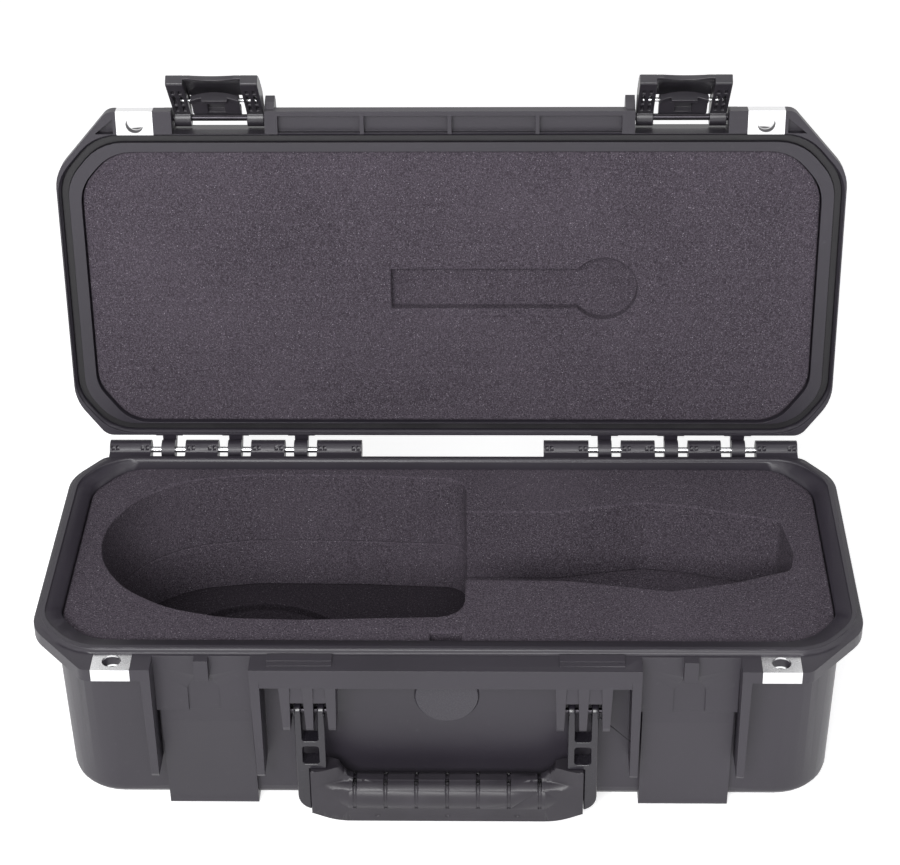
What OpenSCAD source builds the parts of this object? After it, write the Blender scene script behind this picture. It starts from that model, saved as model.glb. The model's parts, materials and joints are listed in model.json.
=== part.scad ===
// Hinged, latched utility case for a microphone, shown with its lid open.
// Millimetres. X runs along the case, Y from front to back, Z up.
// The origin is on the floor, under the middle of the rim flange.

/* [Rim flange] */
// Half length of the flange
flange_hw = 235; // [225:1:245]
// Front edge of the flange
flange_yf = -107.5; // [-112:0.5:-105]
// Back edge of the flange
flange_yb = 107.5; // [105:0.5:110]
// Where the front corner cut meets the front edge
front_cut_x = 201.5; // [199:0.5:204]
// Where the front corner cut meets the side
front_cut_y = -68.5; // [-74:0.5:-62]
// Where the back corner cut meets the back edge
back_cut_x = 217; // [212:0.5:221]
// Where the back corner cut meets the side
back_cut_y = 83; // [78:0.5:88]
// Height of the base's rim
rim_z = 115; // [110:0.5:125]
// Depth of the base flange's outer edge
flange_t = 7.6; // [6.5:0.1:9]
// Depth of the lid flange's outer edge
lid_flange_t = 7; // [6:0.1:9]
// Gap between the closed flanges
rim_gap = 0.4; // [0.3:0.1:0.8]

/* [Base body] */
// Height of the body's underside above the floor
body_z = 3.6; // [3:0.2:6]
// Outer half length of the body under the flange
body_hw = 224; // [222:0.5:227]
// Outer front wall under the flange
body_yf = -84.5; // [-86:0.5:-83.5]
// Outer back wall under the flange
body_yb = 102.5; // [102:0.5:104]
// How far the walls lean in from top to bottom
body_draft = 2.6; // [1:0.2:4]
// Rounding between walls and underside
body_round = 7; // [6:0.5:9]
// Wall thickness
wall = 3; // [2.75:0.25:3.5]
// Width of a foot
foot_w = 51.6; // [44:0.2:53]
// Depth of a foot from front to back
foot_d = 26; // [20:1:34]

/* [Seal] */
// Seal line along the sides, inside the flange's edge
seal_in_side = 4.5; // [4:0.1:5.5]
// Seal line along the front, inside the flange's edge
seal_in_front = 17.9; // [17:0.1:19]
// Seal line along the back, inside the flange's edge
seal_in_back = 5; // [4.5:0.1:6]
// Seal line at the cut corners, inside the flange's edge
seal_in_cut = 6.5; // [6:0.1:8]
// Width of the sealing tongue
tongue_w = 2.4; // [2:0.1:3]
// Height of the sealing tongue above the rim
tongue_h = 3; // [2:0.1:4]
// Height of the raised land that carries the tongue
land_h = 1.4; // [1:0.1:1.8]
// Depth of the lid's groove
groove_h = 6.5; // [6:0.1:7]
// Width of the lid's groove
groove_w = 4.6; // [4:0.1:5]
// Gasket cord thickness
gasket_h = 2.6; // [2:0.1:2.7]

/* [Latch bays] */
// Middle of a latch bay, from the middle of the case
bay_x = 136.2; // [134:0.1:138]
// Clear width of a latch bay
bay_w = 54.8; // [54.4:0.1:56]
// Thickness of the fins beside a bay
fin_t = 5.6; // [4:0.1:6.5]
// Height of the fins' lower end
fin_z = 34; // [30:0.2:40]
// Face of the bay's raised panels
panel_yf = -94.5; // [-95:0.1:-93.5]
// Height of the panels' lower edge
panel_z = 76.5; // [72:0.5:82]
// Width of the arched notch between the panels
notch_w = 18; // [14:0.5:20]
// Height of the arched notch's top
notch_z = 100; // [92:0.5:100.5]
// Front of the keeper tab
keeper_yf = -99.5; // [-99.7:0.1:-98]
// Width of the keeper tab
keeper_w = 8; // [6:0.5:10]
// Height of the keeper tab's underside
keeper_z = 101.5; // [101:0.1:103]

/* [Latches] */
// Height of the latch pin when the lid is closed
latch_pin_z = 127; // [126.5:0.1:128]
// Forward place of the latch pin
latch_pin_y = -99.5; // [-100.5:0.1:-99.2]
// Radius of the latch pin
latch_pin_r = 2; // [1.6:0.1:2.4]
// Width of a latch lever
lever_w = 53; // [50:0.1:53.4]
// Length of a latch lever from its pin to its lip
lever_l = 47; // [42:0.5:48]
// Width of each side arm of a lever
lever_arm_w = 10; // [8:0.2:11]
// How far a latch stands open in the photographed pose
latch_open = 44; // [40:1:46]
// Radius of the trigger pin
trigger_pin_r = 1.2; // [1:0.1:1.4]
// Width of a trigger plate
trigger_w = 28; // [24:0.5:29]
// Wire thickness of the trigger spring
spring_wire = 0.8; // [0.6:0.05:0.9]
// Mean radius of the trigger spring
spring_r = 2.3; // [2.1:0.05:2.6]
// Number of curls in the trigger spring
spring_turns = 5; // [3:1:6]

/* [Hinge] */
// Hinge axis, back from the middle
hinge_y = 117.2; // [116.5:0.1:118]
// Hinge axis below the rim
hinge_drop = 1; // [0:0.1:2]
// Radius of the hinge barrels
barrel_r = 6.3; // [5.5:0.1:6.5]
// Radius of the hinge pins
hinge_pin_r = 2; // [1.6:0.1:2.6]
// How far the lid is open in the photographed pose
lid_open = 94.6; // [85:0.2:100]

/* [Handle] */
// Height of the handle's pivots
handle_z = 80; // [78:0.5:82]
// Forward place of the handle's pivots
handle_y = -98; // [-98.5:0.1:-97]
// Radius of the handle's pins
handle_pin_r = 1.8; // [1.5:0.1:2.2]
// Outer half width of the handle
handle_hw = 85.4; // [84.8:0.1:85.8]
// Width of a handle arm
arm_w = 16.9; // [16.5:0.1:17.3]
// Drop from the pivots to the middle of the grip
handle_drop = 62; // [56:0.5:63]
// Radius of the grip
grip_r = 13.2; // [11:0.1:13.4]
// Number of finger grooves in the grip
grip_grooves = 7; // [5:1:9]
// Radius of the vent's cap
vent_r = 18.2; // [14:0.2:19]
// Height of the vent's middle
vent_z = 79.5; // [76:0.5:82]

/* [Lid] */
// Closed height of the lid above the rim
lid_h = 50; // [44:0.5:56]
// Width of the padlock plates
plate_w = 21.7; // [18:0.1:24]
// Middle of a padlock plate
plate_x = 185.5; // [184:0.1:186.5]
// Radius of the padlock holes
lock_r = 5.3; // [4:0.1:5.4]
// Place of the padlock holes behind the flange's edge
lock_in = 8.4; // [8.2:0.1:8.6]

/* [Foam] */
// Top of the base foam, below the rim
foam_drop = 3.4; // [2:0.2:6]
// Thickness of the upper foam layer
foam_upper_t = 50; // [44:1:56]
// Thickness of the middle foam layer
foam_lower_t = 34; // [26:1:38]
// Face of the lid foam, above the rim
lid_foam_up = 4.6; // [4:0.2:8]
// Depth of the recess in the lid foam
recess_t = 7; // [4:0.5:12]

/* [Hidden] */
$fn = 48;
// Clearances: a pin in its bore, and faces that seat
bore_gap = 0.06;
seat_gap = 0.1;
eps = 0.01;
// Shades of the mouldings, foam, rubber and steel
black = [0.22, 0.21, 0.23];
charcoal = [0.16, 0.15, 0.17];
soft_black = [0.12, 0.12, 0.13];
steel = [0.82, 0.83, 0.85];
// Where the pieces stand that several modules share
hinge_z = rim_z - hinge_drop;
flange_z = rim_z - flange_t;
lid_flange_z = rim_z + rim_gap;
lid_top_z = rim_z + lid_h;
lock_y = flange_yf + lock_in;
plate_t = 1.2;
plate_d = 14.6;
// Straight walls inside the body, from the outer ones and their thickness
inner_hw = body_hw - wall;
inner_yf = body_yf + wall;
inner_yb = body_yb - wall;
// Ends of the hinge barrels, outwards from the middle: the base's, and between them the lid's
base_knuckles = [[57, 85], [105.3, 126.3], [147.1, 167.5], [189.3, 215]];
lid_knuckles = [95.2, 136.7, 178.4];
lid_knuckle_w = 8.4;
hinge_pin_x = [60, 212];
// Bracket fingers that carry the handle, by their middles
finger_x = [64, 76.7, 89.7];
finger_w = 5.4;
bracket_hw = bay_x - bay_w / 2 - fin_t;
bracket_h = 12.4;
bracket_z = 68;
finger_taper = 0.7;

// Unit normal of the corner cut whose ends are a and b
function cut_normal(a, b) = let (d = b - a) [d[1], -d[0]] / norm(d);
front_n = cut_normal([front_cut_x, flange_yf], [flange_hw, front_cut_y]);
back_n = cut_normal([flange_hw, back_cut_y], [back_cut_x, flange_yb]);
front_d = front_n * [flange_hw, front_cut_y];
back_d = back_n * [flange_hw, back_cut_y];

// Right half of a cut-cornered outline, front to back; cut_in moves the corner cuts inwards
function half_outline(hw, yf, yb, cut_in) = let (df = front_d - cut_in, db = back_d - cut_in) [
    [(df - front_n[1] * yf) / front_n[0], yf],
    [hw, (df - front_n[0] * hw) / front_n[1]],
    [hw, (db - back_n[0] * hw) / back_n[1]],
    [(db - back_n[1] * yb) / back_n[0], yb]];
function whole_outline(half) = concat(half, [for (i = [len(half) - 1 : -1 : 0]) [-half[i][0], half[i][1]]]);
// Points of an outline with each corner rounded by an arc of radius r[i]
function rounded(p, r, steps = 5) = [for (i = [0 : len(p) - 1]) let (
    n = len(p), a = p[(i + n - 1) % n], b = p[i], c = p[(i + 1) % n],
    u = (a - b) / norm(a - b), v = (c - b) / norm(c - b),
    half_angle = acos(u * v) / 2, reach = r[i % len(r)] / tan(half_angle),
    centre = b + (u + v) / norm(u + v) * r[i % len(r)] / sin(half_angle),
    s = b + u * reach, e = b + v * reach,
    a0 = atan2(s[1] - centre[1], s[0] - centre[0]),
    a1 = atan2(e[1] - centre[1], e[0] - centre[0]),
    sweep = a1 - a0 > 180 ? a1 - a0 - 360 : a1 - a0 < -180 ? a1 - a0 + 360 : a1 - a0)
    for (k = [0 : steps]) centre + r[i % len(r)] * [cos(a0 + sweep * k / steps), sin(a0 + sweep * k / steps)]];

// The case's plan, moved in from the flange's edge by side, front, back and corner amounts
module plan(hw, yf, yb, cut_in, r = [8, 26, 30, 9]) {
    polygon(rounded(whole_outline(half_outline(hw, yf, yb, cut_in)), concat(r, [r[3], r[2], r[1], r[0]])));
}
module flange_plan(in = 0) plan(flange_hw - in, flange_yf + in, flange_yb - in, in);
module seal_plan(out = 0) plan(flange_hw - seal_in_side + out, flange_yf + seal_in_front - out,
    flange_yb - seal_in_back + out, seal_in_cut - out, [30, 30, 28, 28]);
module body_plan(in = 0) plan(body_hw - in, body_yf + in, body_yb - in, 12 + in, [30, 30, 26, 26]);
module inner_plan(in = 0) plan(inner_hw - in, inner_yf + in, inner_yb - in, 17 + in, [28, 28, 24, 24]);
module slab(z, t = eps) translate([0, 0, z]) linear_extrude(t) children();
// A profile drawn in Y and Z, with its thickness along X from x0 to x1
module along_x(x0, x1) translate([x0, 0, 0]) rotate([90, 0, 90]) linear_extrude(x1 - x0) children();
module rod_x(x0, x1, y, z, r) translate([x0, y, z]) rotate([0, 90, 0]) cylinder(r = r, h = x1 - x0);
module both_sides() for (side = [0, 1]) mirror([side, 0, 0]) children();

// Base moulding
module base_bowl() {
    difference() {
        hull() {
            slab(body_z) body_plan(body_draft + body_round * 0.75);
            slab(body_z + body_round * 0.12) body_plan(body_draft + body_round * 0.34);
            slab(body_z + body_round * 0.5) body_plan(body_draft + body_round * 0.08);
            slab(body_z + body_round) body_plan(body_draft * 0.9);
            slab(flange_z + 1) body_plan();
        }
        hull() {
            slab(body_z + wall) inner_plan(body_draft + 7);
            slab(body_z + wall + 7) inner_plan(body_draft);
            slab(rim_z + land_h + 1) inner_plan();
        }
    }
}
module rim_frame() {
    difference() {
        union() {
            slab(flange_z, flange_t) flange_plan();
            slab(rim_z - eps, land_h + eps) seal_plan(3);
            slab(rim_z, tongue_h) difference() {
                seal_plan(tongue_w / 2);
                seal_plan(-tongue_w / 2);
            }
        }
        slab(flange_z - 1, flange_t + tongue_h + 2) inner_plan();
    }
}
fin_taper = 0.6;
// A profile drawn in X and Z, through the whole front of the case
module front_cut(depth) translate([0, flange_yf + depth, 0]) rotate([90, 0, 0]) linear_extrude(depth + 1) children();
// What is cut from the flange's front edge at each latch
module bay_cut(z0, h, yb) both_sides()
    translate([bay_x - bay_w / 2, flange_yf - 1, z0]) cube([bay_w, yb - flange_yf + 1, h]);
module bay_fins() for (x = [bay_x - bay_w / 2 - fin_t, bay_x + bay_w / 2]) intersection() {
    along_x(x, x + fin_t)
        polygon([[flange_yf, rim_z], [flange_yf, flange_z], [flange_yf + 4.2, fin_z + 3], [flange_yf + 5.2, fin_z + 1],
            [flange_yf + 7, fin_z], [body_yf + 2, fin_z], [body_yf + 2, rim_z - 1], [panel_yf + 1, rim_z]]);
    front_cut(-flange_yf) polygon(rounded([[x, rim_z + 1], [x + fin_taper, fin_z], [x + fin_t - fin_taper, fin_z],
        [x + fin_t, rim_z + 1]], [0.2, 1.2, 1.2, 0.2]));
}
// Pad behind a latch: it leans in down to the foot
module bay_pad() along_x(bay_x - foot_w / 2, bay_x + foot_w / 2)
    polygon([[panel_yf + 1.4, flange_z], [panel_yf + 2.6, panel_z - 10], [body_yf - 1.5, body_z + 3], [body_yf - 1.2, 1.6],
        [body_yf - 0.6, 0.5], [body_yf + 0.6, 0], [body_yf + foot_d, 0], [body_yf + foot_d, body_z + wall - 1],
        [body_yf + 9, body_z + wall - 1], [body_yf + wall + 1, body_z + body_round], [body_yf + 2, flange_z]]);
module bay_panels() difference() {
    translate([bay_x - bay_w / 2 - eps, panel_yf, panel_z])
        cube([bay_w + 2 * eps, body_yf - panel_yf + 2, rim_z - panel_z]);
    translate([bay_x, panel_yf + 1.4, 0]) rotate([90, 0, 0]) linear_extrude(3)
        polygon(rounded([[-notch_w / 2, panel_z - 1], [-notch_w / 2, notch_z], [notch_w / 2, notch_z],
            [notch_w / 2, panel_z - 1]], [0.5, 8, 8, 0.5], 6));
}
module keeper() translate([bay_x - keeper_w / 2, keeper_yf, keeper_z])
    cube([keeper_w, panel_yf - keeper_yf + 1, rim_z - keeper_z]);
module rear_foot() translate([bay_x - foot_w / 2, body_yb - body_draft - body_round * 0.75 - foot_d, 0])
    cube([foot_w, foot_d, body_z + 3]);
// Bar under the flange's front edge, with the fingers that hold the handle's pins
web_h = 12;
module handle_bracket() {
    translate([-bracket_hw - eps, flange_yf, rim_z - bracket_h])
        cube([2 * bracket_hw + 2 * eps, 6, bracket_h]);
    both_sides() for (x = finger_x) intersection() {
        along_x(x - finger_w, x + finger_w)
            polygon([[flange_yf, rim_z - 1], [flange_yf, rim_z - bracket_h], [flange_yf + 3.6, bracket_z + 4],
                [flange_yf + 4.6, bracket_z + 1.4], [flange_yf + 6, bracket_z], [body_yf + 2, bracket_z],
                [body_yf + 2, rim_z - 1]]);
        front_cut(-flange_yf) polygon([[x - finger_w / 2 - finger_taper, rim_z], [x - finger_w / 2 + finger_taper, bracket_z - 1],
            [x + finger_w / 2 - finger_taper, bracket_z - 1], [x + finger_w / 2 + finger_taper, rim_z]]);
    }
    // webs that close the top of each gap between fingers
    both_sides() translate([finger_x[0], flange_yf + 2, rim_z - bracket_h - web_h])
        cube([finger_x[2] - finger_x[0], 3, web_h + 1]);
    both_sides() for (step = [0, 1]) translate([finger_x[0] - 1, flange_yf + 4 + 3 * step, rim_z - eps])
        cube([bracket_hw - finger_x[0] - 3, 9.5 - 3 * step, 0.9 + 0.9 * step]);
}
module base_knuckle(x0, x1) difference() {
    union() {
        rod_x(x0, x1, hinge_y, hinge_z, barrel_r);
        along_x(x0, x1) polygon([[flange_yb - 1, flange_z], [hinge_y, hinge_z - barrel_r],
            [hinge_y, hinge_z + barrel_r - 3], [flange_yb - 1, rim_z]]);
    }
    // pairs of relief slots where the barrel meets the flange, at its two ends
    for (x = [x0 + 1, x0 + 4, x1 - 6.1, x1 - 3.1]) translate([x, hinge_y - 7.6, hinge_z + 3]) cube([2.1, 4.4, 6]);
}
module lock_bore(side, z0, h) translate([side * plate_x, lock_y, z0]) cylinder(r = lock_r, h = h);
// Room in a flange for a folded steel plate
module plate_room(side, z0, h) translate([side * plate_x - plate_w / 2 - seat_gap, flange_yf - 1, z0])
    difference() {
        cube([plate_w + 2 * seat_gap, plate_d + 1 + seat_gap, h]);
        translate([-1, plate_t + seat_gap + 1, plate_t + seat_gap])
            cube([plate_w + 2, plate_d, h - 2 * (plate_t + seat_gap)]);
    }
module base_shell() color(black) difference() {
    union() {
        base_bowl();
        difference() {
            rim_frame();
            bay_cut(flange_z - 1, flange_t + 2, panel_yf);
        }
        both_sides() {
            bay_fins();
            bay_pad();
            bay_panels();
            keeper();
            rear_foot();
            for (k = base_knuckles) base_knuckle(k[0], k[1]);
        }
        handle_bracket();
    }
    for (side = [-1, 1]) {
        lock_bore(side, flange_z - 5, 20);
        plate_room(side, flange_z, flange_t);
        rod_x(side > 0 ? hinge_pin_x[0] - 1 : -hinge_pin_x[1] - 9, side > 0 ? hinge_pin_x[1] + 9 : 1 - hinge_pin_x[0],
            hinge_y, hinge_z, hinge_pin_r + bore_gap);
        rod_x(side > 0 ? finger_x[0] - 9 : -finger_x[2] - 9, side > 0 ? finger_x[2] + 9 : 9 - finger_x[0],
            handle_y, handle_z, handle_pin_r + bore_gap);
    }
    translate([0, body_yf - 5, vent_z]) rotate([-90, 0, 0]) cylinder(r = vent_r + 0.4, h = 6.2);
    translate([0, body_yf - 5, vent_z]) rotate([-90, 0, 0]) cylinder(r = vent_stem_r + 0.3, h = 30);
}

// Pressure vent in the front wall, with its bare cap
vent_stem_r = 9;
vent_back = inner_yf + body_draft;
module vent_axis(y) translate([0, y, vent_z]) rotate([-90, 0, 0]) children();
module vent_cap() color(black) {
    difference() {
        vent_axis(body_yf - 0.8) cylinder(r1 = vent_r - 0.6, r2 = vent_r, h = 0.9);
        vent_axis(body_yf - 1.8) rotate_extrude() translate([vent_r - 3.4, 0]) circle(0.9);
    }
    vent_axis(body_yf + 0.1 - eps) cylinder(r = vent_r, h = 0.5);
    difference() {
        vent_axis(body_yf + 0.5) cylinder(r = vent_stem_r, h = 8.5);
        vent_axis(body_yf + 3) cylinder(r = vent_stem_r - 2, h = 20);
    }
}
module vent_seal() color(soft_black) vent_axis(body_yf + 0.65) difference() {
    cylinder(r = vent_r - 1.5, h = 0.5);
    translate([0, 0, -1]) cylinder(r = vent_stem_r + 0.4, h = 3);
}
module vent_membrane() color(steel) vent_axis(body_yf + 5) cylinder(r = vent_stem_r - 2.1, h = 0.6);
module vent_nut() color(black) vent_axis(vent_back + 0.3) difference() {
    cylinder(r = vent_stem_r + 3.5, h = 2.4, $fn = 6);
    translate([0, 0, -1]) cylinder(r = vent_stem_r + 0.1, h = 5);
}

// Folded stainless plate that lines a padlock hole; z0 is the underside of its flange
module lock_plate(side, z0, h) color(steel) difference() {
    translate([side * plate_x - plate_w / 2, flange_yf, z0]) difference() {
        cube([plate_w, plate_d, h]);
        translate([-1, plate_t, plate_t]) cube([plate_w + 2, plate_d, h - 2 * plate_t]);
    }
    lock_bore(side, z0 - 1, h + 2);
}
module pin_pair(side, x0, x1, y, z, r) color(steel)
    rod_x(side > 0 ? x0 : -x1, side > 0 ? x1 : -x0, y, z, r);

// Base foam: layers cut through for the microphone and for the handle end
foam_z = rim_z - foam_drop;
seam_z = foam_z - foam_upper_t;
floor_z = seam_z - foam_lower_t;
// Lean of the inner wall at a height, so that the layers follow it
function lean(z) = body_draft * (rim_z + land_h - z) / (rim_z + land_h - body_z - wall - 7);
module foam_block(z0, z1) hull() {
    slab(z0) inner_plan(lean(z0) + 0.7);
    slab(z1 - eps) inner_plan(lean(z1) + 0.7);
}
// Pocket for the microphone's body, on the left
mic_pocket = [[9, 88], [-60, 92], [-125, 92.5], [-165, 86], [-193, 66], [-208, 34], [-206, 2],
    [-189, -26], [-161, -45], [-126, -54], [-84, -55.5], [10, -52]];
// Pocket for its handle end, on the right
handle_pocket = [[0, 52.5], [66, 52.5], [92, 58], [118, 62.5], [142, 59], [198, 43.5], [203, 12],
    [200, -6.5], [166, -19], [129, -27.5], [96, -22], [70, -17.5], [0, -16.5]];
module mic_outline() polygon(rounded(mic_pocket, [14, 60, 90, 62, 58, 58, 58, 60, 70, 90, 60, 16], 4));
module pocket_2d() {
    mic_outline();
    polygon(rounded(handle_pocket, [1, 60, 30, 9, 60, 7, 20, 7, 30, 12, 30, 60, 1], 3));
}
// Finger notch that breaks the front edge of the foam
notch_x = [-9.5, 8.5];
module foam_upper() color(charcoal) difference() {
    foam_block(seam_z + 0.05, foam_z);
    slab(seam_z - 1, foam_upper_t + 2) pocket_2d();
    translate([notch_x[0], inner_yf - 6, foam_z - 9]) cube([notch_x[1] - notch_x[0], 20, 20]);
    vent_axis(inner_yf - 6) cylinder(r = vent_stem_r + 4.5, h = 12.5);
}
module foam_lower() color(charcoal) difference() {
    foam_block(floor_z + 0.05, seam_z);
    slab(floor_z - 1, foam_lower_t + 2) mic_outline();
}
module foam_floor() color(charcoal) difference() {
    hull() {
        slab(body_z + wall + 0.3) inner_plan(body_draft + 7.6);
        slab(body_z + wall + 7) inner_plan(body_draft + 0.8);
        slab(floor_z - eps) inner_plan(lean(floor_z) + 0.7);
    }
    slab(floor_z - 6, 8) translate([-118, 10]) circle(62);
}

// Lid, drawn closed and then swung open about the hinge
module opened() translate([0, hinge_y, hinge_z]) rotate([-lid_open, 0, 0])
    translate([0, -hinge_y, -hinge_z]) children();
module lid_plan(in = 0) plan(body_hw - in, body_yf - 0.5 + in, body_yb - 1 - in, 12 + in, [30, 30, 26, 26]);
lid_draft = 3;
lid_round = 10;
module lid_bowl() difference() {
    hull() {
        slab(lid_flange_z + lid_flange_t) lid_plan();
        slab(lid_top_z - lid_round) lid_plan(lid_draft);
        slab(lid_top_z - lid_round * 0.4) lid_plan(lid_draft + lid_round * 0.16);
        slab(lid_top_z - eps) lid_plan(lid_draft + lid_round * 0.8);
    }
    hull() {
        slab(lid_flange_z - 1) inner_plan(0);
        slab(lid_top_z - wall - 5) inner_plan(lid_draft + 0.5);
        slab(lid_top_z - wall) inner_plan(lid_draft + 5);
    }
    // shallow pockets that seat the feet of a second case stacked on this one
    both_sides() for (y = [body_yf + body_draft + 14, body_yb - body_draft - 10 - foot_d - 4])
        translate([bay_x - foot_w / 2 - 1, y, lid_top_z - 2]) cube([foot_w + 2, foot_d + 2, 4]);
    translate([0, 0, lid_top_z - 1.4]) linear_extrude(3) difference() {
        square([190, 130], center = true);
        square([176, 116], center = true);
    }
}
module lid_rim() difference() {
    slab(lid_flange_z, lid_flange_t) flange_plan();
    slab(lid_flange_z - 1, lid_flange_t + 2) inner_plan();
}
// Room over the base's raised land
module land_cut() slab(lid_flange_z - 1, land_h + 1.4) seal_plan(3.6);
// Walls of the sealing groove, inside the lid's rim; they stop short of the padlock holes
groove_wall = 1.6;
module groove_walls() difference() {
    slab(lid_flange_z + land_h + 0.2, groove_h) seal_plan(groove_w / 2 + groove_wall);
    slab(lid_flange_z, groove_h + 5) inner_plan();
}
module groove_cut() slab(lid_flange_z - 1, groove_h + 1) difference() {
    seal_plan(groove_w / 2);
    seal_plan(-groove_w / 2);
}
// Ears that hold a latch's pin, one each side of its bay
ear_r = 5.6;
module ear(x0, x1, reach) along_x(x0, x1) {
    translate([latch_pin_y, latch_pin_z]) circle(ear_r);
    polygon([[latch_pin_y - reach, latch_pin_z + 2], [latch_pin_y - reach + 2, latch_pin_z - 4],
        [flange_yf + 3, lid_flange_z], [body_yf + 3, lid_flange_z], [body_yf + 3, latch_pin_z + 16],
        [latch_pin_y - reach + 4, latch_pin_z + 6]]);
}
module lid_ears() both_sides() {
    ear(bay_x - bay_w / 2 - fin_t, bay_x - bay_w / 2, 13);
    ear(bay_x + bay_w / 2, bay_x + bay_w / 2 + fin_t, 5.6);
}
module lid_knuckle(x) {
    rod_x(x - lid_knuckle_w / 2, x + lid_knuckle_w / 2, hinge_y, hinge_z, barrel_r);
    along_x(x - lid_knuckle_w / 2, x + lid_knuckle_w / 2)
        polygon([[hinge_y + barrel_r * 0.8, hinge_z + barrel_r * 0.6], [hinge_y - 2, hinge_z + barrel_r - 0.5],
            [flange_yb - 3, lid_flange_z + 2.5], [flange_yb - 6, lid_flange_z + lid_flange_t],
            [body_yb - 3, lid_flange_z + lid_flange_t + 14], [body_yb, lid_flange_z + lid_flange_t + 14]]);
    along_x(x - lid_knuckle_w, x + lid_knuckle_w)
        polygon([[flange_yb - 1, lid_flange_z + 1], [flange_yb + 2.6, lid_flange_z + 4],
            [body_yb - 1, lid_flange_z + lid_flange_t + 12], [body_yb - 3, lid_flange_z + 2]]);
}
bar_rib_x = [-bracket_hw / 2, 0, bracket_hw / 2];
// Three-sided pocket that lightens each front corner of the lid's flange
corner_pocket = [[198.4, -102.6], [198.4, -93.4], [209.5, -93.4]];
module lid_shell() color(black) opened() difference() {
    union() {
        lid_bowl();
        difference() {
            lid_rim();
            bay_cut(lid_flange_z - 1, lid_flange_t + 2, latch_pin_y + 6);
            // pockets under the flange between the latches, with their ribs left standing
            difference() {
                translate([-bracket_hw + 2, flange_yf + 3, lid_flange_z - 1])
                    cube([2 * bracket_hw - 4, 14.5, lid_flange_t - 1]);
                for (x = bar_rib_x) translate([x - 1.2, flange_yf, lid_flange_z - 2]) cube([2.4, 30, 20]);
            }
        }
        groove_walls();
        lid_ears();
        both_sides() for (x = lid_knuckles) lid_knuckle(x);
    }
    groove_cut();
    land_cut();
    both_sides() slab(lid_flange_z - 1, lid_flange_t - 1) polygon(corner_pocket);
    for (side = [-1, 1]) {
        lock_bore(side, lid_flange_z - 5, 30);
        plate_room(side, lid_flange_z, lid_flange_t);
        rod_x(side > 0 ? hinge_pin_x[0] : -hinge_pin_x[1], side > 0 ? hinge_pin_x[1] : -hinge_pin_x[0],
            hinge_y, hinge_z, hinge_pin_r + bore_gap);
        rod_x(side * bay_x - bay_w / 2 - fin_t - 1, side * bay_x + bay_w / 2 + fin_t + 1,
            latch_pin_y, latch_pin_z, latch_pin_r + bore_gap);
    }
}
module lid_gasket() color(soft_black) opened()
    slab(lid_flange_z + groove_h - gasket_h - seat_gap, gasket_h) difference() {
        seal_plan(groove_w / 2 - 0.25);
        seal_plan(-groove_w / 2 + 0.25);
    }
// Slot and disc cut in the lid foam for the windscreen's tool
recess_x = [-36.5, 92.7];
recess_y = 9;
recess_w = 26;
recess_r = 20.4;
module lid_foam() color(charcoal) opened() difference() {
    hull() {
        slab(rim_z + lid_foam_up) inner_plan(0.8);
        slab(lid_top_z - wall - 5.6) inner_plan(lid_draft + 1.2);
        slab(lid_top_z - wall - 0.4) inner_plan(lid_draft + 6);
    }
    slab(rim_z + lid_foam_up - 1, recess_t + 1) {
        translate([recess_x[0], recess_y - recess_w / 2]) square([recess_x[1] - recess_x[0], recess_w]);
        translate([recess_x[1], recess_y]) circle(recess_r);
    }
}

// Handle, hanging from its two pins
arm_t = 10;
prong_w = 3.8;
prong_drop = 19;
window_z = [handle_z - 35.5, handle_z - 23];
grip_z = handle_z - handle_drop;
// The rubber covers the bar up to these seams
seam_x = handle_hw - 7.4;
grip_seam_z = handle_z - 39;
core_r = 5.6;
core_hw = 56;
core_t = 5;
core_in = 4.2;
// How far the bar's outline stands clear of the round rubber
grip_clear = 0.4;
// Front view of the whole handle, a bar bent up at both ends; in moves its edges inwards
module handle_outline(in = 0) {
    top = in > 0 ? grip_seam_z + 3 : handle_z;
    points = [[-handle_hw + in, top], [-handle_hw + in, grip_z - grip_r + 9 + in],
        [-handle_hw + 22, grip_z - grip_r + in], [handle_hw - 22, grip_z - grip_r + in],
        [handle_hw - in, grip_z - grip_r + 9 + in], [handle_hw - in, top],
        [handle_hw - arm_w + in, top], [handle_hw - arm_w - 8, grip_z + grip_r - in],
        [-handle_hw + arm_w + 8, grip_z + grip_r - in], [-handle_hw + arm_w - in, top]];
    polygon(rounded(points, [0.5, 10, 40, 40, 10, 0.5, 0.5, 14, 14, 0.5]));
}
module handle_slab(t, in = 0) translate([0, handle_y + t / 2, 0]) rotate([90, 0, 0])
    linear_extrude(t) handle_outline(in);
// Hidden bar inside the rubber: round in the middle and flat at the ends
module handle_core(gap = 0) {
    rod_x(-core_hw - gap, core_hw + gap, handle_y, grip_z, core_r + gap);
    intersection() {
        handle_slab(core_t + 2 * gap, core_in - gap);
        translate([-handle_hw, handle_y - 20, 0]) cube([2 * handle_hw, 40, grip_seam_z + 1]);
    }
}
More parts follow.
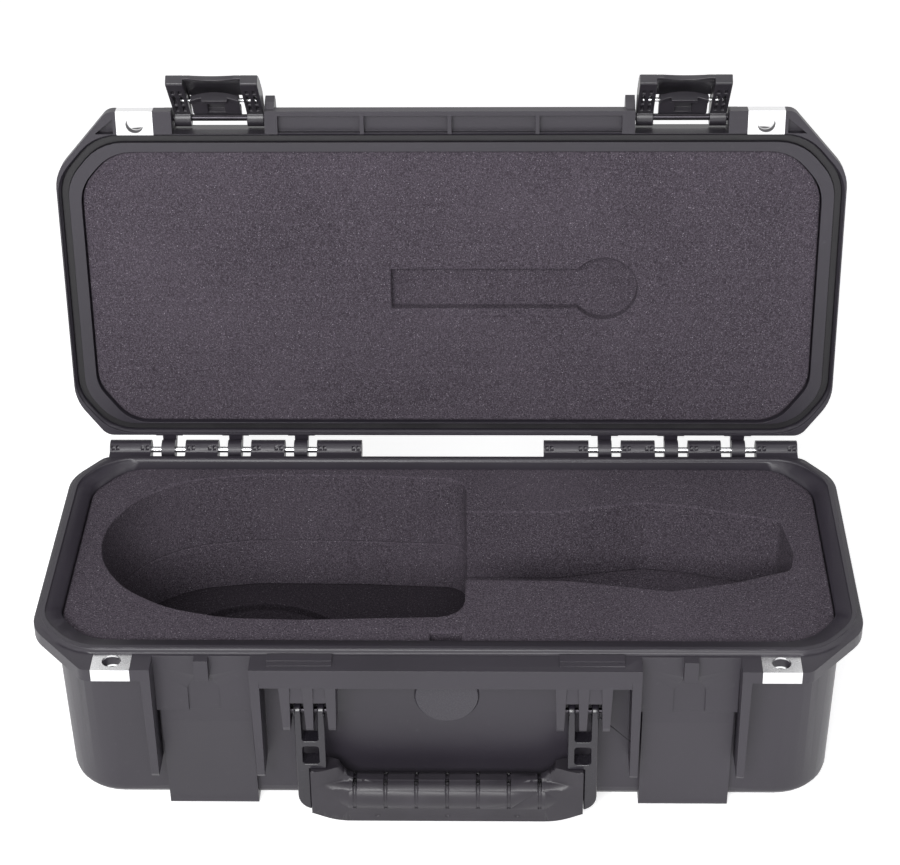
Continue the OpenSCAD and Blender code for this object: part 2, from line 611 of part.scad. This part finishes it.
// Round-cornered hole through an arm
module arm_window(z0, z1) translate([handle_hw - arm_w / 2, handle_y + 20, 0]) rotate([90, 0, 0]) linear_extrude(40)
    let (w = arm_w / 2 - prong_w) polygon(rounded([[-w, z0], [w, z0], [w, z1], [-w, z1]], [1.6], 4));
module handle_frame() color(black) difference() {
    union() {
        handle_core();
        intersection() {
            handle_slab(arm_t);
            both_sides() {
                translate([handle_hw - arm_w, handle_y - 20, grip_seam_z]) cube([arm_w + 1, 40, handle_z - grip_seam_z]);
                translate([seam_x, handle_y - 20, 0]) cube([handle_hw, 40, handle_z]);
            }
        }
        both_sides() for (x = [handle_hw - prong_w, handle_hw - arm_w])
            rod_x(x, x + prong_w, handle_y, handle_z, arm_t / 2);
    }
    both_sides() {
        arm_window(handle_z - prong_drop, handle_z + 20);
        arm_window(window_z[0], window_z[1]);
    }
    rod_x(-handle_hw - 1, handle_hw + 1, handle_y, handle_z, handle_pin_r + bore_gap);
}
// Rubber: a flat-faced bar whose middle swells into the part that fingers close round
rubber_t = 16;
swell_r = 10.6;
swell_z = grip_z + grip_r - swell_r;
swell_hw = 56;
dimple_x = [-40, 0, 40];
module handle_grip() color(soft_black) difference() {
    union() {
        intersection() {
            handle_slab(rubber_t);
            translate([grip_clear - seam_x, handle_y - rubber_t, 0])
                cube([2 * (seam_x - grip_clear), 2 * rubber_t, grip_seam_z - seat_gap]);
        }
        rod_x(-swell_hw, swell_hw, handle_y, swell_z, swell_r - 0.2);
        both_sides() translate([swell_hw - 0.1, handle_y, swell_z]) rotate([0, 90, 0])
            cylinder(r1 = swell_r - 0.2, r2 = rubber_t / 2 - 1, h = 9);
    }
    handle_core(seat_gap);
    for (i = [0 : grip_grooves - 1]) intersection() {
        translate([(i - (grip_grooves - 1) / 2) * groove_pitch, handle_y, swell_z])
            rotate([0, 90, 0]) rotate_extrude() translate([swell_r + 0.3, 0]) circle(1.2, $fn = 16);
        translate([-swell_hw, handle_y - 20, swell_z - 6]) cube([2 * swell_hw, 40, 40]);
    }
    for (x = dimple_x) translate([x, handle_y - rubber_t / 2 + 0.5, grip_z - 8.6]) rotate([90, 0, 0]) cylinder(r = 1.6, h = 2);
}
groove_pitch = 17.6;

// Latches: drawn closed about their pin, then swung out by latch_open
module latch_pose(side) opened() translate([side * bay_x, latch_pin_y, latch_pin_z])
    rotate([-latch_open, 0, 0]) children();
lever_in = 0;
lever_out = -10.6;
trigger_y = -3.4;
trigger_z = -17.5;
// Side view of an arm, from the pin down to the free end
module lever_profile() {
    circle(5.2);
    polygon([[0, -5.2], [lever_in, -8], [lever_in, 1 - lever_l], [lever_in - 0.8, -lever_l], [lever_in - 6, -lever_l],
        [lever_out + 2.4, 6 - lever_l], [lever_out + 1, 14 - lever_l], [lever_out, -16], [lever_out + 4, -3], [-3, 4.2],
        [0, 5.2]]);
}
// Pin held by the lid's ears, half a millimetre short of their outer faces
module latch_pin(side) color(steel) rod_x(side * bay_x - bay_w / 2 - fin_t + 0.5,
    side * bay_x + bay_w / 2 + fin_t - 0.5, latch_pin_y, latch_pin_z, latch_pin_r);
// Core-out slots of an arm, by their ends along it
arm_slots = [[9, 15.5], [18, 30], [33, 37.5]];
module latch_lever(side) color(black) latch_pose(side) difference() {
    union() {
        for (x = [-lever_w / 2, lever_w / 2 - lever_arm_w]) along_x(x, x + lever_arm_w) lever_profile();
        // outer cover between the arms, bowed at its free end, and a bar that stiffens it
        along_x(-lever_w / 2 + 1, lever_w / 2 - 1) polygon([[lever_out + 0.6, -15], [lever_out + 1.6, 14 - lever_l],
            [lever_out + 3, 6 - lever_l], [lever_in - 6, -lever_l], [lever_in - 3.6, -lever_l], [lever_in - 3.6, 3 - lever_l],
            [lever_out + 5, 8 - lever_l], [lever_out + 4, 14 - lever_l], [lever_out + 3, -15]]);
    }
    // finger scoop in the free end
    translate([0, 4, -lever_l - 34]) rotate([90, 0, 0]) cylinder(r = 36.4, h = 30, $fn = 96);
    for (x = [-lever_w / 2 + lever_arm_w / 2, lever_w / 2 - lever_arm_w / 2]) for (dx = [-2.1, 2.1]) for (slot = arm_slots)
        translate([x + dx - 0.95, lever_in - 4, -slot[1]]) cube([1.9, 10, slot[1] - slot[0]]);
    rod_x(-lever_w, lever_w, 0, 0, latch_pin_r + bore_gap);
    rod_x(-lever_w / 2 + 3, lever_w / 2 - 3, trigger_y, trigger_z, trigger_pin_r + bore_gap);
}
module trigger_pin(side) color(steel) latch_pose(side)
    rod_x(-lever_w / 2 + 3.2, lever_w / 2 - 3.2, trigger_y, trigger_z, trigger_pin_r);
// Trigger: a plate on its own pin; its bowed lower edge carries the nose that catches under the keeper
spring_room = 9;
hook_z = keeper_z - latch_pin_z - 0.5;
hook_h = 4.4;
hook_bow_r = 40;
keeper_room = 5;
// Top edge of the plate, just under the lid's flange when the latch is closed
plate_top = lid_flange_z - latch_pin_z - 0.6;
module trigger(side) color(black) latch_pose(side) difference() {
    union() {
        along_x(-trigger_w / 2, trigger_w / 2) polygon([[3.1, plate_top - 0.6], [2.5, plate_top], [-2.6, plate_top],
            [-3, -25], [0.8, -25], [1.6, -20.6]]);
        rod_x(-trigger_w / 2, trigger_w / 2 - spring_room, trigger_y, trigger_z, 2.9);
        // bowed bar across the trigger, and the nose in its middle
        translate([0, 0, hook_z - hook_h]) linear_extrude(hook_h) intersection() {
            translate([0, hook_bow_r - 3]) difference() {
                circle(hook_bow_r, $fn = 120);
                circle(hook_bow_r - 3.2, $fn = 120);
            }
            translate([-trigger_w / 2, -6]) square([trigger_w, 14]);
        }
        translate([-7.5, -1, hook_z - hook_h]) cube([15, 4, hook_h - 0.4]);
        translate([-trigger_w / 2, -3, hook_z - 1]) cube([trigger_w, 3.8, 4]);
    }
    // channel that the keeper slides into
    translate([-keeper_room, -1.2, hook_z]) cube([2 * keeper_room, 7, 15]);
    translate([trigger_w / 2 - spring_room, trigger_y - 6, trigger_z - 3.4]) cube([spring_room + 1, 9, 6.8]);
    rod_x(-trigger_w, trigger_w, trigger_y, trigger_z, trigger_pin_r + bore_gap);
}
// Torsion spring on the trigger's pin: one tube along a helix
spring_pitch = spring_wire + 0.55;
function spring_point(t) = [t * spring_pitch, spring_r * cos(360 * t), spring_r * sin(360 * t)];
module tube(points, r, sides = 6) {
    n = len(points);
    rings = [for (i = [0 : n - 1]) let (
        d = points[min(i + 1, n - 1)] - points[max(i - 1, 0)], t = d / norm(d),
        u = cross(t, [1, 0.02, 0.03]) / norm(cross(t, [1, 0.02, 0.03])), v = cross(t, u))
        for (k = [0 : sides - 1]) points[i] + r * (cos(360 * k / sides) * u + sin(360 * k / sides) * v)];
    polyhedron(rings, concat([[for (k = [0 : sides - 1]) k]],
        [for (i = [0 : n - 2]) for (k = [0 : sides - 1]) let (a = i * sides + k, b = i * sides + (k + 1) % sides)
            each [[a, a + sides, b], [b, a + sides, b + sides]]],
        [[for (k = [sides - 1 : -1 : 0]) (n - 1) * sides + k]]));
}
module trigger_spring(side) color(steel) latch_pose(side)
    translate([trigger_w / 2 - spring_room + 1, trigger_y, trigger_z])
        tube([for (i = [0 : 8 * spring_turns]) spring_point(i / 8)], spring_wire / 2);
// Least gap of the spring to itself: the same place one curl on
spring_gap = min([for (i = [0 : 8]) norm(spring_point(i / 8) - spring_point(i / 8 + 1))]) - spring_wire;
echo(spring_gap = spring_gap);

base_shell();
foam_upper();
foam_lower();
foam_floor();
lock_plate(-1, flange_z, flange_t);  // lock_plate_base_left
lock_plate(1, flange_z, flange_t);  // lock_plate_base_right
vent_cap();
vent_seal();
vent_membrane();
vent_nut();
pin_pair(-1, finger_x[0] - 2.4, finger_x[2] + 2.4, handle_y, handle_z, handle_pin_r);  // handle_pin_left
pin_pair(1, finger_x[0] - 2.4, finger_x[2] + 2.4, handle_y, handle_z, handle_pin_r);  // handle_pin_right
pin_pair(-1, hinge_pin_x[0], hinge_pin_x[1], hinge_y, hinge_z, hinge_pin_r);  // hinge_pin_left
pin_pair(1, hinge_pin_x[0], hinge_pin_x[1], hinge_y, hinge_z, hinge_pin_r);  // hinge_pin_right
lid_shell();
lid_gasket();
lid_foam();
opened() lock_plate(-1, lid_flange_z, lid_flange_t);  // lock_plate_lid_left
opened() lock_plate(1, lid_flange_z, lid_flange_t);  // lock_plate_lid_right
opened() latch_pin(-1);  // latch_pin_left
opened() latch_pin(1);  // latch_pin_right
handle_frame();
handle_grip();
latch_lever(-1);  // latch_lever_left
latch_lever(1);  // latch_lever_right
trigger_pin(-1);  // trigger_pin_left
trigger_pin(1);  // trigger_pin_right
trigger_spring(-1);  // trigger_spring_left
trigger_spring(1);  // trigger_spring_right
trigger(-1);  // trigger_left
trigger(1);  // trigger_right
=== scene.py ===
"""Looks of the open microphone case: shells, foam, latches, hinge and handle, lit as in the photograph."""

import json
import math

import bmesh
import bpy
from mathutils import Matrix, Vector


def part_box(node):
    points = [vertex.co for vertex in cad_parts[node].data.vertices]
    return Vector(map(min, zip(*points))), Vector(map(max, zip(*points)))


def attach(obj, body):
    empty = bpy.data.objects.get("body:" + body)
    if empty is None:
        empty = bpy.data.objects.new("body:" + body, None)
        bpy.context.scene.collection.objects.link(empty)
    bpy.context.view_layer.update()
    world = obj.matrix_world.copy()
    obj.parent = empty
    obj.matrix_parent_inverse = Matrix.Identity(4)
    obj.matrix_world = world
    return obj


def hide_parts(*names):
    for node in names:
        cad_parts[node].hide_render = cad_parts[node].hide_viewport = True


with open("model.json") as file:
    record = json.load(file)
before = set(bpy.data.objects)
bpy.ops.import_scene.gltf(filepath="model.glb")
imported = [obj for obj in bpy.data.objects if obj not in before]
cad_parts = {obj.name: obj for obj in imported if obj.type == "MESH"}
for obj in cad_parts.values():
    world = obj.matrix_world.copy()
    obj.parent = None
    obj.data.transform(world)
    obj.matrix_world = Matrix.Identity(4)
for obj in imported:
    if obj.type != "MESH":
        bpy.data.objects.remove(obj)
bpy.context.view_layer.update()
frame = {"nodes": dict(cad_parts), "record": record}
joints = {joint["name"]: joint for joint in frame["record"]["behaviour"]["joints"]}
MM = 0.001
EDGE_SAMPLES = 4

# Places of the hinge and the latches in millimetres, angles of the open lid and latch in degrees
HINGE_Y_MM = 117.2
HINGE_Z_MM = 114.0
LID_OPEN = 94.6
LATCH_OPEN = 44.0
BAY_X_MM = 136.2
BAY_WIDTH_MM = 55.2


class Value:
    """A node's output, or a number, that Python's operators join into Math nodes."""

    def __init__(self, finish, socket):
        self.finish, self.socket = finish, socket

    def _math(self, operation, a, b):
        return self.finish.node("ShaderNodeMath", {"operation": operation}, {0: a, 1: b})

    def __add__(self, other):
        return self._math("ADD", self, other)

    def __mul__(self, other):
        return self._math("MULTIPLY", self, other)

    __radd__, __rmul__ = __add__, __mul__


class Finish:
    """A material whose shader has constants on its own sockets and patterns linked to it."""

    def __init__(self, name, **constants):
        self.material = bpy.data.materials.new(name)
        self.material.use_nodes = True
        self.tree = self.material.node_tree
        self.shader = self.tree.nodes["Principled BSDF"]
        for socket, value in constants.items():
            self.shader.inputs[socket.replace("_", " ")].default_value = value

    def node(self, kind, settings=None, inputs=None, output=0):
        made = self.tree.nodes.new(kind)
        for key, value in (settings or {}).items():
            if key == "stops":
                for stop, (place, shade) in zip(made.color_ramp.elements, value):
                    stop.position = place
                    stop.color = (shade, shade, shade, 1)
            else:
                setattr(made, key, value)
        for key, value in (inputs or {}).items():
            if isinstance(value, Value):
                self.tree.links.new(value.socket, made.inputs[key])
            else:
                made.inputs[key].default_value = value
        return Value(self, made.outputs[output])

    def place(self, scale=(1, 1, 1)):
        """Object coordinates, each multiplied by its part of scale."""
        spot = self.node("ShaderNodeTexCoord", output="Object")
        return self.node("ShaderNodeMapping", {}, {"Vector": spot, "Scale": scale})

    def grain(self, scale, detail=2.0, roughness=0.5, at=None):
        return self.node("ShaderNodeTexNoise", {}, {
            "Vector": at or self.place(), "Scale": scale, "Detail": detail, "Roughness": roughness})

    def cells(self, scale):
        return self.node("ShaderNodeTexVoronoi", {}, {"Vector": self.place(), "Scale": scale}, "Distance")

    def ramp(self, factor, low, high):
        """Grey along factor between two pairs of place and level."""
        return self.node("ShaderNodeValToRGB", {"stops": (low, high)}, {"Fac": factor})

    def blend(self, factor, a, b):
        """Colour a turning to colour b with factor."""
        def full(c):
            return c if isinstance(c, Value) else (*c, 1)
        return self.node("ShaderNodeMix", {"data_type": "RGBA"}, {0: factor, 6: full(a), 7: full(b)}, 2)

    def set(self, **links):
        """Links values to the shader's sockets, whose names have _ for a space."""
        for socket, value in links.items():
            self.tree.links.new(value.socket, self.shader.inputs[socket.replace("_", " ")])
        return self

    def bump(self, height, distance, strength=1.0, edge=0.0):
        """Relief of the surface; edge is the radius that the light sees on sharp corners."""
        inputs = {"Height": height, "Distance": distance, "Strength": strength}
        if edge:
            inputs["Normal"] = self.node("ShaderNodeBevel", {"samples": EDGE_SAMPLES}, {"Radius": edge})
        return self.set(Normal=self.node("ShaderNodeBump", {}, inputs))


def moulded(name, dark, light, roughness, grain_mm, depth):
    """Textured polypropylene: a fine spark-eroded grain over a faint uneven tone, with a little dust."""
    dust_colour = (0.16, 0.155, 0.17)
    corner = 0.35 * MM
    f = Finish(name, Specular_IOR_Level=0.5)
    tone = f.grain(9, 3.0)
    fine = f.grain(1 / (grain_mm * MM), 2.0, 0.6)
    dust = f.ramp(f.grain(260, 4.0, 0.7), (0.62, 0.0), (0.78, 1.0))
    mix = f.ramp(tone, (0.3, 0.0), (0.7, 1.0))
    f.set(Base_Color=f.blend(dust * 0.10, f.blend(mix, dark, light), dust_colour),
          Roughness=fine * 0.16 + tone * 0.12 + (roughness - 0.14))
    return f.bump(fine, depth * MM, 0.8, corner)


def foam_finish(name, dark, light, speck):
    """Open-cell foam: dark pores, paler cell walls and a few bright specks."""
    f = Finish(name, Roughness=1.0, Specular_IOR_Level=0.12)
    pores = f.grain(1050, 3.0, 0.75)
    cells = f.cells(820)
    shade = f.ramp(pores, (0.36, 0.0), (0.66, 1.0))
    bright = f.ramp(f.grain(1500, 2.0, 0.8), (0.635, 0.0), (0.70, 1.0))
    patch = f.ramp(f.grain(14, 3.0), (0.35, 0.0), (0.7, 1.0))
    body = f.blend(shade, dark, light)
    body = f.blend(patch * 0.25, body, light)
    f.set(Base_Color=f.blend(bright * 0.75, body, speck))
    return f.bump(pores * 0.8 + cells * 0.5, 0.5 * MM, 0.9)


def bright_steel(name, tint, roughness, squeeze):
    """Brushed steel: fine lines, made by squeezing a grain along one axis, and a few soft marks."""
    f = Finish(name, Metallic=1.0)
    lines = f.grain(900, 3.0, 0.7, f.place(squeeze))
    marks = f.ramp(f.grain(120, 3.0), (0.45, 0.0), (0.75, 1.0))
    f.set(Base_Color=f.blend(lines * 0.35 + marks * 0.15, tint, tuple(c * 0.72 for c in tint)),
          Roughness=lines * 0.14 + marks * 0.08 + (roughness - 0.08))
    return f.bump(lines, 0.03 * MM, 0.5)


def rubber(name, colour, roughness, depth=0.12):
    """Soft moulded rubber: even and matt, paler where it is handled."""
    corner = 0.7 * MM
    f = Finish(name, Specular_IOR_Level=0.4)
    fine = f.grain(1500, 2.0, 0.6)
    worn = f.ramp(f.grain(38, 4.0, 0.6), (0.45, 0.0), (0.8, 1.0))
    f.set(Base_Color=f.blend(worn * 0.5, colour, tuple(c * 1.7 + 0.006 for c in colour)),
          Roughness=fine * 0.15 + worn * 0.1 + (roughness - 0.1))
    return f.bump(fine, depth * MM, 0.7, corner)


# Finishes; a moulded one has a dark and a light tone, roughness, then grain size and depth in millimetres
case_plastic = moulded("moulded_case", (0.021, 0.018, 0.025), (0.028, 0.024, 0.033), 0.42, 0.55, 0.10)
latch_plastic = moulded("moulded_latch", (0.022, 0.020, 0.025), (0.029, 0.026, 0.032), 0.36, 0.7, 0.06)
handle_plastic = moulded("moulded_handle", (0.014, 0.012, 0.017), (0.019, 0.017, 0.023), 0.24, 0.7, 0.03)
vent_plastic = moulded("moulded_vent", (0.030, 0.027, 0.036), (0.038, 0.034, 0.044), 0.27, 0.7, 0.03)
grip_rubber = rubber("grip_rubber", (0.024, 0.021, 0.027), 0.42, 0.06)
seal_rubber = rubber("seal_rubber", (0.012, 0.011, 0.013), 0.5)
foam_top = foam_finish("foam_sheet", (0.024, 0.020, 0.026), (0.108, 0.091, 0.114), (0.48, 0.45, 0.50))
# A darker copy of the same foam for the pocket floor: painted shade of the deep pocket
foam_painted_shade = foam_finish("foam_painted_shade", (0.010, 0.008, 0.011), (0.050, 0.042, 0.053), (0.22, 0.20, 0.23))
plate_steel = bright_steel("plate_steel", (0.86, 0.86, 0.87), 0.24, (1, 14, 1))
pin_steel = bright_steel("pin_steel", (0.74, 0.74, 0.76), 0.2, (18, 1, 1))
black_steel = bright_steel("black_steel", (0.045, 0.042, 0.048), 0.35, (18, 1, 1))
spring_steel = bright_steel("spring_steel", (0.66, 0.66, 0.69), 0.25, (1, 1, 1))
membrane = Finish("vent_membrane", Base_Color=(0.72, 0.72, 0.70, 1), Roughness=0.8)
membrane.bump(membrane.grain(2500), 0.05 * MM)


def from_cad(node, whole=True):
    """A bmesh of a CAD node with its loose triangles merged and, if whole, its flat faces joined."""
    same_place, flat = 2e-6, math.radians(0.6)
    mesh = bmesh.new()
    mesh.from_mesh(frame["nodes"][node].data)
    bmesh.ops.remove_doubles(mesh, verts=mesh.verts, dist=same_place)
    if whole:
        bmesh.ops.dissolve_limit(mesh, angle_limit=flat, verts=mesh.verts, edges=mesh.edges)
    return mesh


def rounded_edges(mesh, width, angle=32, segments=2):
    """Bevels every edge sharper than angle, as a mould's corners are; width is in millimetres."""
    limit = math.radians(angle)
    sharp = [edge for edge in mesh.edges if len(edge.link_faces) == 2 and edge.calc_face_angle(0) > limit]
    bmesh.ops.bevel(mesh, geom=sharp, offset=width * MM, offset_type="OFFSET", segments=segments, profile=0.5,
                    affect="EDGES", clamp_overlap=False, material=-1)
    return mesh


def bar_along_x(outline, x_mm, length_mm):
    """A bar along X from x_mm on, whose section is a list of y and z in metres."""
    mesh = bmesh.new()
    near = [mesh.verts.new((x_mm * MM, y, z)) for y, z in outline]
    far = [mesh.verts.new((x_mm * MM, y, z)) for y, z in outline]
    mesh.faces.new(near)
    mesh.faces.new(far)
    for corner in range(len(outline)):
        mesh.faces.new((near[corner - 1], near[corner], far[corner], far[corner - 1]))
    bmesh.ops.translate(mesh, vec=(length_mm * MM, 0, 0), verts=far)
    bmesh.ops.recalc_face_normals(mesh, faces=mesh.faces)
    return mesh


def piece(name, mesh, body, finish, stands_for=(), smooth=40):
    """A finished piece from a bmesh: shaded, given its finish, and riding on its body."""
    data = bpy.data.meshes.new(name)
    mesh.to_mesh(data)
    mesh.free()
    data.shade_smooth()
    data.set_sharp_from_angle(angle=math.radians(smooth))
    made = bpy.data.objects.new(name, data)
    bpy.context.scene.collection.objects.link(made)
    data.materials.append(finish.material)
    made.modifiers.new("even_shading", "WEIGHTED_NORMAL").keep_sharp = True
    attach(made, body)
    if stands_for:
        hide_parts(*stands_for)
    return made


def refinish(node, finish):
    """A CAD node that shows as it is, in this finish."""
    shown = frame["nodes"][node]
    shown.data.materials.clear()
    shown.data.materials.append(finish.material)


# Case mouldings, shaded smooth only across edges of a small angle, and the handle's bar
CASE_SMOOTH = 14
piece("base_moulding", from_cad("base_shell", False), "base", case_plastic, ["base_shell"],
      smooth=CASE_SMOOTH)
piece("lid_moulding", from_cad("lid_shell", False), "lid", case_plastic, ["lid_shell"],
      smooth=CASE_SMOOTH)
piece("handle_bar", rounded_edges(from_cad("handle_frame"), 0.7), "handle", handle_plastic,
      ["handle_frame"])


def grip_shape():
    """The grip, its upper half drawn in to a round back that runs out into the arms."""
    swell_r, bar_r, slab_half = 10.6 * MM, 13.2 * MM, 8.0 * MM
    round_from, round_to = 6.9 * MM, 10.3 * MM
    heights = (7, 8, 9, 9.8, 10.3)
    swell_end, arm_start, step = 57, 76, 2
    mesh = from_cad("handle_grip", False)
    low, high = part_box("handle_grip")
    middle_y = (low[1] + high[1]) / 2
    swell_z = low[2] + 2 * bar_r - swell_r
    cuts = [((0, 0, swell_z + height * MM), (0, 0, 1)) for height in heights]
    for side in (-1, 1):
        cuts += [((side * x * MM, 0, 0), (1, 0, 0)) for x in range(swell_end, arm_start + 1, step)]
    for place, normal in cuts:
        whole = mesh.verts[:] + mesh.edges[:] + mesh.faces[:]
        bmesh.ops.bisect_plane(mesh, geom=whole, dist=1e-7, plane_co=place, plane_no=normal)
    for vert in mesh.verts:
        up = min(vert.co.z - swell_z, round_to)
        if up > round_from:
            share = (arm_start * MM - abs(vert.co.x)) / ((arm_start - swell_end) * MM)
            share = max(0.0, min(1.0, share))
            share = share * share * (3 - 2 * share)
            half = slab_half + (math.sqrt(swell_r ** 2 - up ** 2) - slab_half) * share
            vert.co.y = middle_y + max(-half, min(half, vert.co.y - middle_y))
    return mesh


piece("handle_rubber", grip_shape(), "handle", grip_rubber, ["handle_grip"])


def trigger_shape(side, sign):
    """The trigger with its plate's upper lip, drawn in millimetres about the latch pin, then put in place."""
    lip_width = 28
    lip_outline = [(1.7, -7.5), (1.4, -6.4), (0.4, -6.4), (-2.4, -11), (-2.4, -12.4), (2.0, -12.4)]
    mesh = rounded_edges(from_cad(f"trigger_{side}"), 0.3)
    lip = bar_along_x([(y * MM, z * MM) for y, z in lip_outline], -lip_width / 2, lip_width)
    rounded_edges(lip, 0.25)
    pin_y, pin_z = joints[f"latch_swing_{side}"]["pos_m"][1:]
    turned = Matrix.Rotation(math.radians(-LID_OPEN - LATCH_OPEN), 4, "X")
    lip.transform(Matrix.Translation((sign * BAY_X_MM * MM, pin_y, pin_z)) @ turned)
    data = bpy.data.meshes.new("lip")
    lip.to_mesh(data)
    lip.free()
    mesh.from_mesh(data)
    bpy.data.meshes.remove(data)
    return mesh


for side, sign in (("left", -1), ("right", 1)):
    piece(f"latch_cover_{side}", rounded_edges(from_cad(f"latch_lever_{side}"), 0.4), f"latch_{side}",
          latch_plastic, [f"latch_lever_{side}"])
    piece(f"trigger_plate_{side}", trigger_shape(side, sign), f"trigger_{side}",
          latch_plastic, [f"trigger_{side}"])


def opened(y, z):
    """Place in the open lid, in metres, of a point given in the closed lid in millimetres."""
    turn, dy, dz = math.radians(-LID_OPEN), y - HINGE_Y_MM, z - HINGE_Z_MM
    return ((HINGE_Y_MM + math.cos(turn) * dy - math.sin(turn) * dz) * MM,
            (HINGE_Z_MM + math.sin(turn) * dy + math.cos(turn) * dz) * MM)


def bay_shade_web(side, sign):
    """Thin web that closes the lid behind a latch, from the flange to the pin, in the darkest moulded finish:
    a dark sheet painted as the shade in the latch bay.
    """
    outline = [(-93.4, 120.0), (-93.4, 131.0), (-92.2, 131.6), (-91.6, 131.0), (-91.6, 120.0)]
    mesh = bar_along_x([opened(y, z) for y, z in outline], sign * BAY_X_MM - BAY_WIDTH_MM / 2, BAY_WIDTH_MM)
    piece(f"bay_shade_web_{side}", mesh, "lid", handle_plastic)


# Dark webs behind the latches that stand for the painted shade in their bays
bay_shade_web("left", -1)
bay_shade_web("right", 1)


def foam_piece(node, name, body, finish=foam_top):
    """Cut foam, its edges a little rounded by the knife."""
    knife_round, sharper_than, smooth_below = 1.1, 40, 50
    mesh = rounded_edges(from_cad(node), knife_round, sharper_than, 3)
    made = piece(name, mesh, body, finish, [node], smooth=smooth_below)


foam_piece("foam_upper", "pocket_foam", "base")
foam_piece("foam_lower", "deep_foam", "base")
# The floor foam takes the darker copy of the foam, painted shade of the deep pocket
foam_piece("foam_floor", "floor_foam", "base", foam_painted_shade)
foam_piece("lid_foam", "lid_cushion", "lid")

# CAD nodes that show as they are
shown_as = [
    (plate_steel, ["lock_plate_base_left", "lock_plate_base_right"]),
    (plate_steel, ["lock_plate_lid_left", "lock_plate_lid_right"]),
    (pin_steel, ["hinge_pin_left", "hinge_pin_right", "trigger_pin_left", "trigger_pin_right"]),
    (black_steel, ["handle_pin_left", "handle_pin_right", "latch_pin_left", "latch_pin_right"]),
    (spring_steel, ["trigger_spring_left", "trigger_spring_right"]),
    (vent_plastic, ["vent_cap", "vent_nut"]),
    (seal_rubber, ["vent_seal", "lid_gasket"]),
    (membrane, ["vent_membrane"])]
for finish, nodes in shown_as:
    for node in nodes:
        refinish(node, finish)


def soft_box(name, place, aim, size, power):
    """A lamp of the given width and height in metres and power in watts, turned to aim."""
    light = bpy.data.lights.new(name, "AREA")
    light.shape = "RECTANGLE"
    light.size, light.size_y = size
    light.energy = power
    lamp = bpy.data.objects.new(name, light)
    lamp.location = place
    lamp.rotation_mode = "QUATERNION"
    lamp.rotation_quaternion = (Vector(aim) - Vector(place)).to_track_quat("-Z", "Y")
    bpy.context.scene.collection.objects.link(lamp)


def studio_floor():
    """White floor that keeps the shadow and shows near white to the camera and in what is glossy."""
    half_width, glow_strength = 20, 0.62
    grid = bmesh.new()
    bmesh.ops.create_grid(grid, x_segments=1, y_segments=1, size=half_width)
    data = bpy.data.meshes.new("floor")
    grid.to_mesh(data)
    grid.free()
    floor = bpy.data.objects.new("floor", data)
    bpy.context.scene.collection.objects.link(floor)
    pale = Finish("floor_paint", Base_Color=(0.86, 0.86, 0.87, 1), Roughness=0.9, Specular_IOR_Level=0.1)
    painted = Value(pale, pale.shader.outputs[0])
    seen = pale.node("ShaderNodeMath", {"operation": "MAXIMUM"}, {
        0: pale.node("ShaderNodeLightPath", output="Is Camera Ray"),
        1: pale.node("ShaderNodeLightPath", output="Is Glossy Ray")})
    glow = pale.node("ShaderNodeEmission", {}, {"Color": (1, 1, 1, 1), "Strength": glow_strength})
    both = pale.node("ShaderNodeAddShader", {}, {0: painted, 1: glow})
    mixed = pale.node("ShaderNodeMixShader", {}, {0: seen, 1: painted, 2: both})
    pale.tree.links.new(mixed.socket, pale.tree.nodes["Material Output"].inputs["Surface"])
    data.materials.append(pale.material)


def studio_world():
    """Dim light from all round that the camera, glossy and clear surfaces see as white."""
    fill_level, seen_level = 0.17, 1.0
    world = bpy.context.scene.world or bpy.data.worlds.new("studio")
    bpy.context.scene.world = world
    world.use_nodes = True
    nodes, links = world.node_tree.nodes, world.node_tree.links
    sky = nodes["Background"]
    sky.inputs["Color"].default_value = (1, 1, 1, 1)
    path = nodes.new("ShaderNodeLightPath")

    def either(a, b):
        larger = nodes.new("ShaderNodeMath")
        larger.operation = "MAXIMUM"
        links.new(a, larger.inputs[0])
        links.new(b, larger.inputs[1])
        return larger.outputs[0]

    mirrored = either(path.outputs["Is Transmission Ray"], path.outputs["Is Glossy Ray"])
    level = nodes.new("ShaderNodeMapRange")
    level.inputs["To Min"].default_value = fill_level
    level.inputs["To Max"].default_value = seen_level
    links.new(either(path.outputs["Is Camera Ray"], mirrored), level.inputs["Value"])
    links.new(level.outputs[0], sky.inputs["Strength"])


def studio():
    """White floor and soft boxes: a strong one high in front, a faint one on each side and one above."""
    soft_box("front_box", (-0.35, -2.1, 1.45), (0, 0, 0.12), (1.3, 0.9), 62)
    soft_box("left_box", (-1.7, -0.6, 0.9), (0, 0, 0.1), (0.8, 1.2), 4)
    soft_box("right_box", (1.7, -0.6, 0.9), (0, 0, 0.1), (0.8, 1.2), 4)
    soft_box("top_box", (0.0, 0.2, 1.9), (0, 0.1, 0.1), (1.2, 0.8), 6)
    studio_floor()
    studio_world()


def photo_camera():
    """The photograph's view: 32.7 degrees down, a long lens, almost square on to the front."""
    eye, lens_mm, sensor_mm = Vector((0.0327, -1.1703, 0.9539)), 97.99, 36
    down, yaw, roll = math.radians(32.70), math.radians(-1.525), math.radians(-0.750)
    right = Vector((math.cos(yaw), -math.sin(yaw), 0))
    ahead = Vector((math.sin(yaw) * math.cos(down), math.cos(yaw) * math.cos(down), -math.sin(down)))
    up = right.cross(ahead)
    x = math.cos(roll) * right + math.sin(roll) * up
    y = -math.sin(roll) * right + math.cos(roll) * up
    lens = bpy.data.cameras.new("photo_view")
    lens.lens, lens.sensor_width, lens.sensor_fit = lens_mm, sensor_mm, "HORIZONTAL"
    camera = bpy.data.objects.new("photo_view", lens)
    camera.matrix_world = Matrix.Translation(eye) @ Matrix((x, y, -ahead)).transposed().to_4x4()
    bpy.context.scene.collection.objects.link(camera)
    bpy.context.scene.camera = camera


studio()
photo_camera()
bpy.context.scene.view_settings.view_transform = "Standard"
